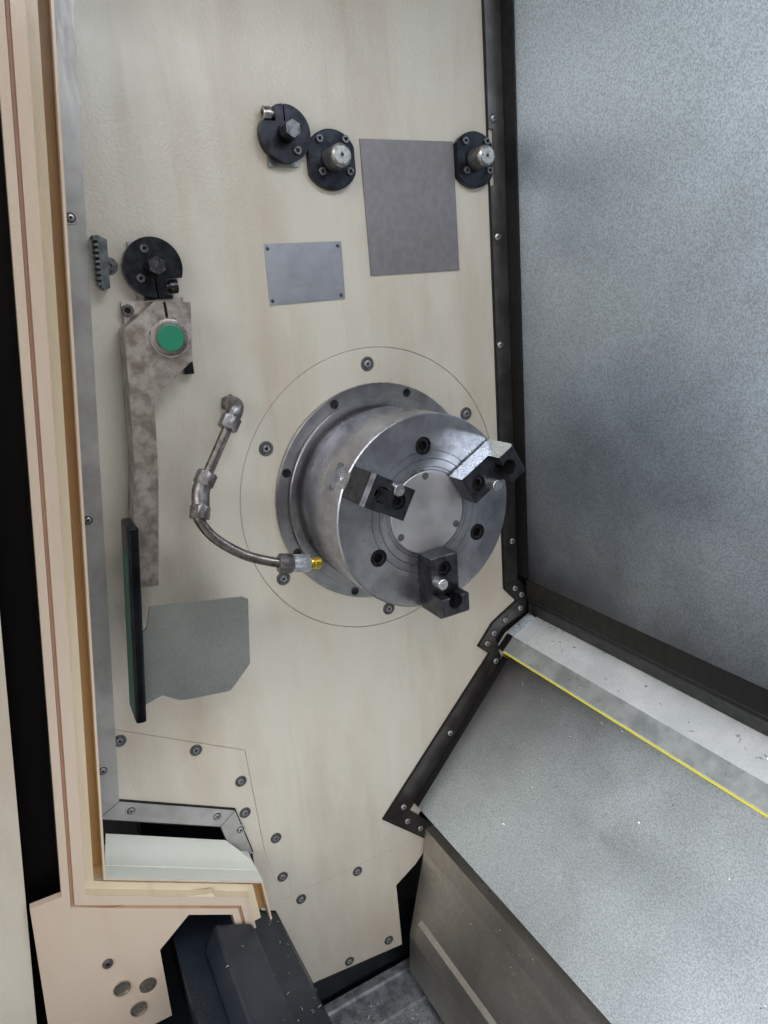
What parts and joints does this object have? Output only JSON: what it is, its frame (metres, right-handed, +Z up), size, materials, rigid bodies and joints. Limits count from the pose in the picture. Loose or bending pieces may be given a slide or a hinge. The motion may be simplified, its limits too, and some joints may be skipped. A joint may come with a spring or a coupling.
{
  "type": "cnc turning lathe",
  "caption": "Slant-bed turning machine with a sliding front door, three-jaw power chuck, turret, tailstock, coolant nozzle and chip conveyor.",
  "frame": {"origin": "centre of the footprint on the floor, chip conveyor included", "axes": "+X along the spindle axis from the headstock to the tailstock, +Y to the back of the machine, +Z up; the front door faces -Y"},
  "size_m": [3.6, 1.66, 2.05],
  "materials": {
    "cream_enamel": "satin stoving enamel with fine orange peel",
    "dark_blue_enamel": "semi-gloss dark blue enamel",
    "casting": "painted grey iron casting",
    "ground_steel": "turned and ground steel",
    "stainless": "brushed stainless sheet",
    "black_oxide": "black oxide over machined steel",
    "brass": "turned brass",
    "green_plastic": "moulded cap",
    "grey_plastic": "textured housing",
    "red_plastic": "moulded push head",
    "window_glass": "clear laminated pane"
  },
  "bodies": {
    "machine": {"access_cover": "ground_steel", "arm_base": "ground_steel", "bed_casting": "casting", "chip_tank": "dark_blue_enamel", "chute_sheet": "stainless", "column_casting": "casting", "conveyor_belt": "ground_steel", "conveyor_trough": "dark_blue_enamel", "coolant_nozzle": "brass", "coolant_pipe_lower": "ground_steel", "coolant_pipe_upper": "ground_steel", "cover_ring": "cream_enamel", "door_jamb": "cream_enamel", "door_rail": "ground_steel", "far_wall": "cream_enamel", "front_left_panel": "cream_enamel", "front_right_panel": "cream_enamel", "headstock_casting": "casting", "headstock_wall": "cream_enamel", "left_end_panel": "cream_enamel", "lower_cover_panel": "cream_enamel", "lower_disc": "black_oxide", "lower_left_cover": "cream_enamel", "middle_nozzle_flange": "black_oxide", "rail_beam": "dark_blue_enamel", "rear_cover_fixed": "stainless", "rear_panel": "cream_enamel", "ridge_beam": "casting", "right_end_panel": "cream_enamel", "right_nozzle_flange": "black_oxide", "roof_panel": "cream_enamel", "slant_cover_fixed": "stainless", "spindle_flange": "ground_steel", "upper_disc": "black_oxide", "wiper_frame_front": "ground_steel", "wiper_frame_rear": "ground_steel"},
    "spindle": {"spindle_shaft": "ground_steel", "chuck_body": "ground_steel", "chuck_cover": "ground_steel", "chuck_cylinder": "ground_steel"},
    "jaw_1": {"master_jaw_1": "ground_steel", "top_jaw_1": "black_oxide"},
    "jaw_2": {"master_jaw_2": "ground_steel", "top_jaw_2": "black_oxide"},
    "jaw_3": {"master_jaw_3": "ground_steel", "top_jaw_3": "black_oxide"},
    "door": {"door_panel": "cream_enamel", "door_window": "window_glass"},
    "carriage": {"saddle": "casting"},
    "cross_slide": {"turret_slide": "casting"},
    "turret": {"turret_disc": "ground_steel"},
    "tailstock_body": {"tailstock": "casting"},
    "quill_body": {"quill": "ground_steel"},
    "centre": {"live_centre": "ground_steel"},
    "tool_arm": {"swing_arm": "ground_steel", "arm_cap": "green_plastic", "arm_bar": "black_oxide", "arm_plate": "stainless"},
    "control": {"control_box": "grey_plastic"},
    "stop_button": {"emergency_stop": "red_plastic"}
  },
  "joints": [
    {"name": "spindle_turn", "type": "hinge", "parent": "machine", "child": "spindle", "pos_m": [-0.8, -0.15, 1.1], "axis": [1, 0, 0], "continuous": true},
    {"name": "jaw_1_slide", "type": "slide", "parent": "spindle", "child": "jaw_1", "axis": [0, -0.866, 0.5], "range_m": [-0.0024, 0.002]},
    {"name": "jaw_2_slide", "type": "slide", "parent": "spindle", "child": "jaw_2", "axis": [0, 0.866, 0.5], "range_m": [-0.0024, 0.002]},
    {"name": "jaw_3_slide", "type": "slide", "parent": "spindle", "child": "jaw_3", "axis": [0, 0, -1], "range_m": [-0.0024, 0.002]},
    {"name": "door_slide", "type": "slide", "parent": "machine", "child": "door", "axis": [1, 0, 0], "range_m": [-0.929, 0]},
    {"name": "carriage_slide", "type": "slide", "parent": "machine", "child": "carriage", "axis": [1, 0, 0], "range_m": [-0.45, 0.05]},
    {"name": "cross_slide_travel", "type": "slide", "parent": "carriage", "child": "cross_slide", "axis": [0, 0, 1], "range_m": [-0.2, 0.04]},
    {"name": "turret_index", "type": "hinge", "parent": "cross_slide", "child": "turret", "pos_m": [0.184, -0.15, 1.6], "axis": [1, 0, 0], "continuous": true},
    {"name": "tailstock_slide", "type": "slide", "parent": "machine", "child": "tailstock_body", "axis": [1, 0, 0], "range_m": [-0.42, 0.05]},
    {"name": "quill_slide", "type": "slide", "parent": "tailstock_body", "child": "quill_body", "axis": [-1, 0, 0], "range_m": [0, 0.1]},
    {"name": "centre_turn", "type": "hinge", "parent": "quill_body", "child": "centre", "pos_m": [0.16, -0.15, 1.1], "axis": [1, 0, 0], "continuous": true},
    {"name": "tool_arm_hinge", "type": "hinge", "parent": "machine", "child": "tool_arm", "pos_m": [-0.77, -0.418, 1.343], "axis": [1, 0, 0], "range_deg": [0, 8]},
    {"name": "control_swivel", "type": "hinge", "parent": "machine", "child": "control", "pos_m": [0.7, -0.76, 1.62], "axis": [0, 0, -1], "range_deg": [0, 75]},
    {"name": "stop_push", "type": "slide", "parent": "control", "child": "stop_button", "axis": [0, 1, 0], "range_m": [0, 0.005], "stiffness_N_per_m": 900}
  ],
  "couplings": [
    {"joint": "jaw_2_slide", "follows": "jaw_1_slide", "ratio": 1},
    {"joint": "jaw_3_slide", "follows": "jaw_1_slide", "ratio": 1}
  ]
}
